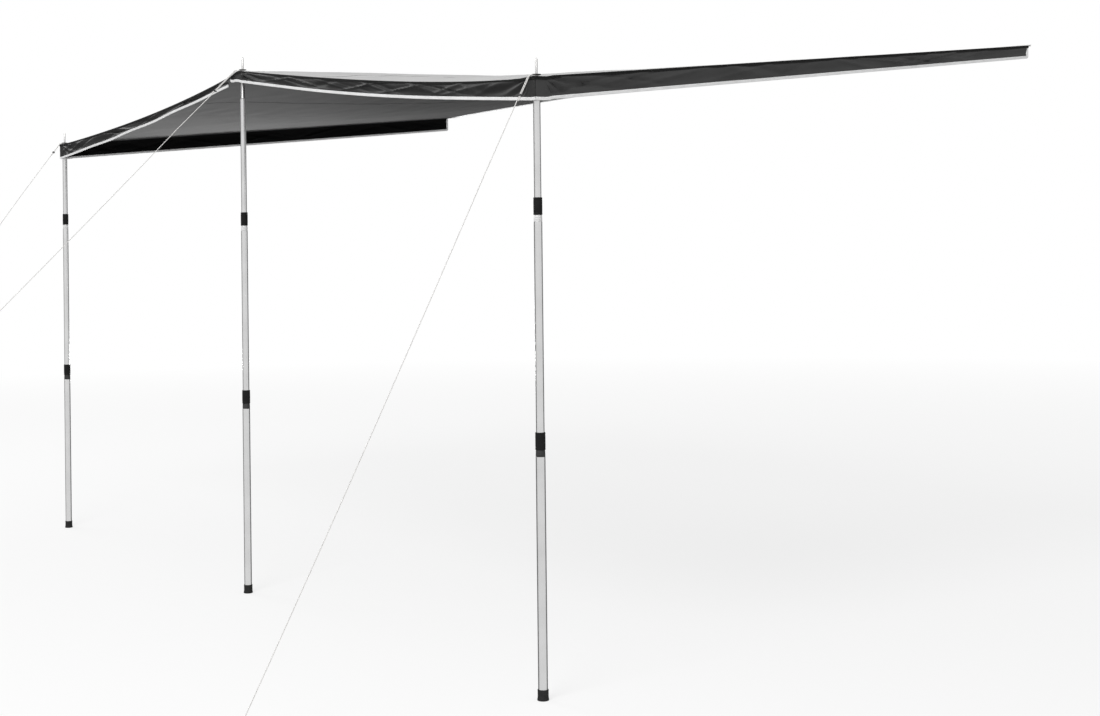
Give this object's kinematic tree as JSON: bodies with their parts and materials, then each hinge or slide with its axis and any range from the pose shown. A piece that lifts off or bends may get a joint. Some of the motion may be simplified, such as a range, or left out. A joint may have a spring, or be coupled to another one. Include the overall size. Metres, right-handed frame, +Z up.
{
  "type": "caravan sun canopy",
  "caption": "Cloth sun canopy that hangs from a caravan's awning rail and stands on telescopic poles held down by guy lines.",
  "frame": {"origin": "middle of the keder bead at the sheet's rear edge, where the awning rail holds it", "axes": "+X along the rail to the right as seen from the front, +Y into the caravan's wall, +Z up; the ground lies at z = -2.32 m"},
  "size_m": [4.6861, 4.3334, 2.3237],
  "materials": {
    "roof_cloth": "coated woven polyester, light grey outside, mid grey below",
    "valance_cloth": "coated woven polyester, dark grey",
    "hem_binding": "white woven binding tape",
    "keder_tape": "light grey coated tape round a cord",
    "tube_steel": "silver tube, satin",
    "plated_steel": "zinc plated",
    "lock_black": "moulded, black",
    "lock_grey": "moulded, dark grey",
    "foot_rubber": "black rubber",
    "line_cord": "light grey braided cord",
    "slider_plastic": "moulded, dark grey"
  },
  "bodies": {
    "canopy": {"roof_panel": "roof_cloth", "keder": "keder_tape", "front_valance_left": "valance_cloth", "front_binding_left": "hem_binding", "side_valance_left": "valance_cloth", "side_binding_left": "hem_binding", "front_valance_right": "valance_cloth", "front_binding_right": "hem_binding", "side_valance_right": "valance_cloth", "side_binding_right": "hem_binding", "left_eyelet": "plated_steel", "left_washer": "lock_black", "left_guy_line": "line_cord", "left_peg": "plated_steel", "middle_eyelet": "plated_steel", "middle_washer": "lock_black", "middle_guy_line": "line_cord", "middle_peg": "plated_steel", "right_eyelet": "plated_steel", "right_washer": "lock_black", "right_guy_line": "line_cord", "right_peg": "plated_steel"},
    "left_top_section": {"left_upper_tube": "tube_steel", "left_upper_guide": "lock_black", "left_spike": "plated_steel"},
    "left_middle_section": {"left_middle_tube": "tube_steel", "left_upper_lock_body": "lock_grey", "left_lower_guide": "lock_black"},
    "left_upper_collar": {"left_upper_lock_collar": "lock_black"},
    "left_lower_section": {"left_lower_tube": "tube_steel", "left_lower_lock_body": "lock_grey", "left_foot": "foot_rubber"},
    "left_lower_collar": {"left_lower_lock_collar": "lock_black"},
    "left_slider": {"left_line_slider": "slider_plastic"},
    "middle_top_section": {"middle_upper_tube": "tube_steel", "middle_upper_guide": "lock_black", "middle_spike": "plated_steel"},
    "middle_middle_section": {"middle_middle_tube": "tube_steel", "middle_upper_lock_body": "lock_grey", "middle_lower_guide": "lock_black"},
    "middle_upper_collar": {"middle_upper_lock_collar": "lock_black"},
    "middle_lower_section": {"middle_lower_tube": "tube_steel", "middle_lower_lock_body": "lock_grey", "middle_foot": "foot_rubber"},
    "middle_lower_collar": {"middle_lower_lock_collar": "lock_black"},
    "middle_slider": {"middle_line_slider": "slider_plastic"},
    "right_top_section": {"right_upper_tube": "tube_steel", "right_upper_guide": "lock_black", "right_spike": "plated_steel"},
    "right_middle_section": {"right_middle_tube": "tube_steel", "right_upper_lock_body": "lock_grey", "right_lower_guide": "lock_black"},
    "right_upper_collar": {"right_upper_lock_collar": "lock_black"},
    "right_lower_section": {"right_lower_tube": "tube_steel", "right_lower_lock_body": "lock_grey", "right_foot": "foot_rubber"},
    "right_lower_collar": {"right_lower_lock_collar": "lock_black"},
    "right_slider": {"right_line_slider": "slider_plastic"}
  },
  "joints": [
    {"name": "left_pole_tilt", "type": "hinge", "parent": "canopy", "child": "left_top_section", "pos_m": [-2.21, -2.45, -0.2665], "axis": [1, 0, 0], "range_deg": [-3, 5]},
    {"name": "left_upper_slide", "type": "slide", "parent": "left_top_section", "child": "left_middle_section", "axis": [0, 0, 1], "range_m": [-0.273, 0.361]},
    {"name": "left_lower_slide", "type": "slide", "parent": "left_middle_section", "child": "left_lower_section", "axis": [0, 0, 1], "range_m": [-0.013, 0.66]},
    {"name": "left_upper_twist", "type": "hinge", "parent": "left_middle_section", "child": "left_upper_collar", "pos_m": [-2.21, -2.45, -0.667], "axis": [0, 0, 1], "range_deg": [0, 180]},
    {"name": "left_lower_twist", "type": "hinge", "parent": "left_lower_section", "child": "left_lower_collar", "pos_m": [-2.21, -2.45, -1.474], "axis": [0, 0, 1], "range_deg": [0, 180]},
    {"name": "left_line_tension", "type": "slide", "parent": "canopy", "child": "left_slider", "axis": [0.0904, 0.5843, 0.8065], "range_m": [0, 0.035]},
    {"name": "middle_pole_tilt", "type": "hinge", "parent": "canopy", "child": "middle_top_section", "pos_m": [0, -2.45, -0.0725], "axis": [1, 0, 0], "range_deg": [-3, 5]},
    {"name": "middle_upper_slide", "type": "slide", "parent": "middle_top_section", "child": "middle_middle_section", "axis": [0, 0, 1], "range_m": [-0.039, 0.595]},
    {"name": "middle_lower_slide", "type": "slide", "parent": "middle_middle_section", "child": "middle_lower_section", "axis": [0, 0, 1], "range_m": [-0.053, 0.62]},
    {"name": "middle_upper_twist", "type": "hinge", "parent": "middle_middle_section", "child": "middle_upper_collar", "pos_m": [0, -2.45, -0.707], "axis": [0, 0, 1], "range_deg": [0, 180]},
    {"name": "middle_lower_twist", "type": "hinge", "parent": "middle_lower_section", "child": "middle_lower_collar", "pos_m": [0, -2.45, -1.474], "axis": [0, 0, 1], "range_deg": [0, 180]},
    {"name": "middle_line_tension", "type": "slide", "parent": "canopy", "child": "middle_slider", "axis": [0.4488, 0.5652, 0.6922], "range_m": [0, 0.1]},
    {"name": "right_pole_tilt", "type": "hinge", "parent": "canopy", "child": "right_top_section", "pos_m": [2.21, -2.45, -0.2865], "axis": [1, 0, 0], "range_deg": [-3, 5]},
    {"name": "right_upper_slide", "type": "slide", "parent": "right_top_section", "child": "right_middle_section", "axis": [0, 0, 1], "range_m": [-0.253, 0.381]},
    {"name": "right_lower_slide", "type": "slide", "parent": "right_middle_section", "child": "right_lower_section", "axis": [0, 0, 1], "range_m": [-0.053, 0.62]},
    {"name": "right_upper_twist", "type": "hinge", "parent": "right_middle_section", "child": "right_upper_collar", "pos_m": [2.21, -2.45, -0.707], "axis": [0, 0, 1], "range_deg": [0, 180]},
    {"name": "right_lower_twist", "type": "hinge", "parent": "right_lower_section", "child": "right_lower_collar", "pos_m": [2.21, -2.45, -1.474], "axis": [0, 0, 1], "range_deg": [0, 180]},
    {"name": "right_line_tension", "type": "slide", "parent": "canopy", "child": "right_slider", "axis": [0.1097, 0.4151, 0.9031], "range_m": [0, 0.05]}
  ]
}
